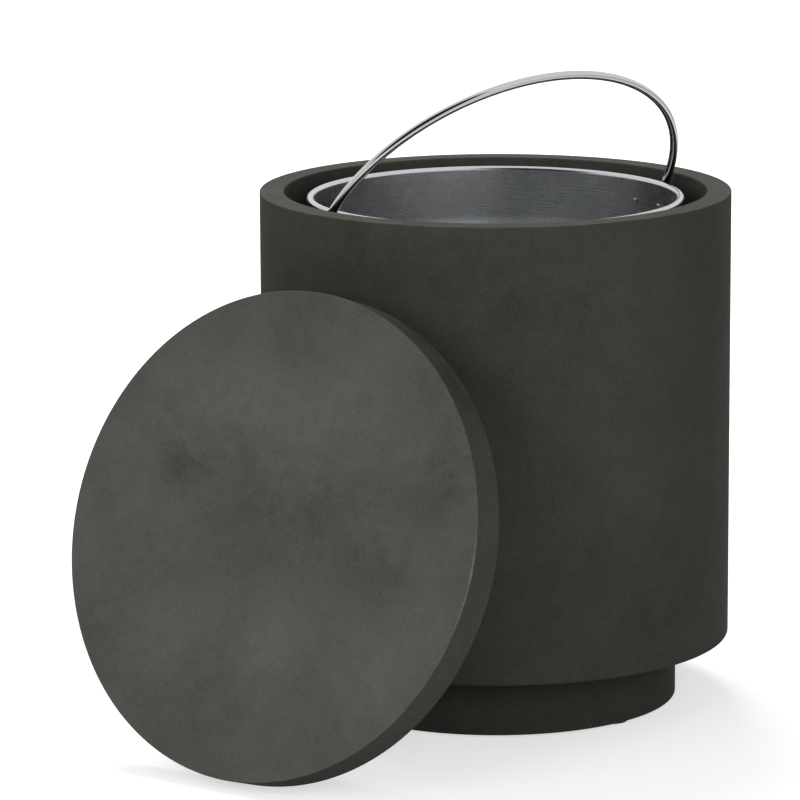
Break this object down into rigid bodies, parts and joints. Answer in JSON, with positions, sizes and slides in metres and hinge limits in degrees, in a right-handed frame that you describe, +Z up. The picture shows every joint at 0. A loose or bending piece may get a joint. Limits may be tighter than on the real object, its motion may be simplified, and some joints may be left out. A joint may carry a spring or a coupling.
{
  "type": "ice bucket coffee table",
  "caption": "Round cast-cement coffee table drum on a recessed plinth, hiding a lift-out steel ice bucket with a swinging bail handle; its slab lid is off and leans on the drum.",
  "frame": {"origin": "centre of the plinth's flat underside; the glides stand 2 mm lower", "axes": "+Z up along the drum's axis, -Y the front, +X to the right as seen from the front; the lid leans at the front left"},
  "size_m": [0.5509, 0.59, 0.552],
  "materials": {
    "cast_cement": "matte",
    "cast_cement_face": "matte",
    "foam_skin": "matte",
    "brushed_steel": "satin",
    "chrome": "polished",
    "dark_rubber": "matte",
    "clear_pad": "satin"
  },
  "bodies": {
    "table": {"drum_shell": "cast_cement", "plinth": "cast_cement", "glide_1": "dark_rubber", "glide_2": "dark_rubber", "glide_3": "dark_rubber", "glide_4": "dark_rubber"},
    "bucket": {"bucket_body": "brushed_steel", "bucket_foot_ring": "brushed_steel", "bail_ear_1": "brushed_steel", "bail_ear_2": "brushed_steel", "ear_rivet_1": "brushed_steel", "ear_rivet_2": "brushed_steel", "ear_rivet_3": "brushed_steel", "ear_rivet_4": "brushed_steel"},
    "bail": {"bail_handle": "chrome"},
    "lid": {"lid_slab": "cast_cement_face", "lid_plug": "foam_skin", "lid_pad_1": "clear_pad", "lid_pad_2": "clear_pad", "lid_pad_3": "clear_pad", "lid_pad_4": "clear_pad"}
  },
  "joints": [
    {"name": "bucket_lift", "type": "slide", "parent": "table", "child": "bucket", "axis": [0, 0, 1], "range_m": [0, 0.37]},
    {"name": "bail_swing", "type": "hinge", "parent": "bucket", "child": "bail", "pos_m": [0, 0, 0.4196], "axis": [0.8541, 0.5201, 0], "range_deg": [-149, 68]},
    {"name": "lid_lift", "type": "slide", "parent": "table", "child": "lid", "axis": [0, 0, 1], "range_m": [0, 0.56]}
  ]
}
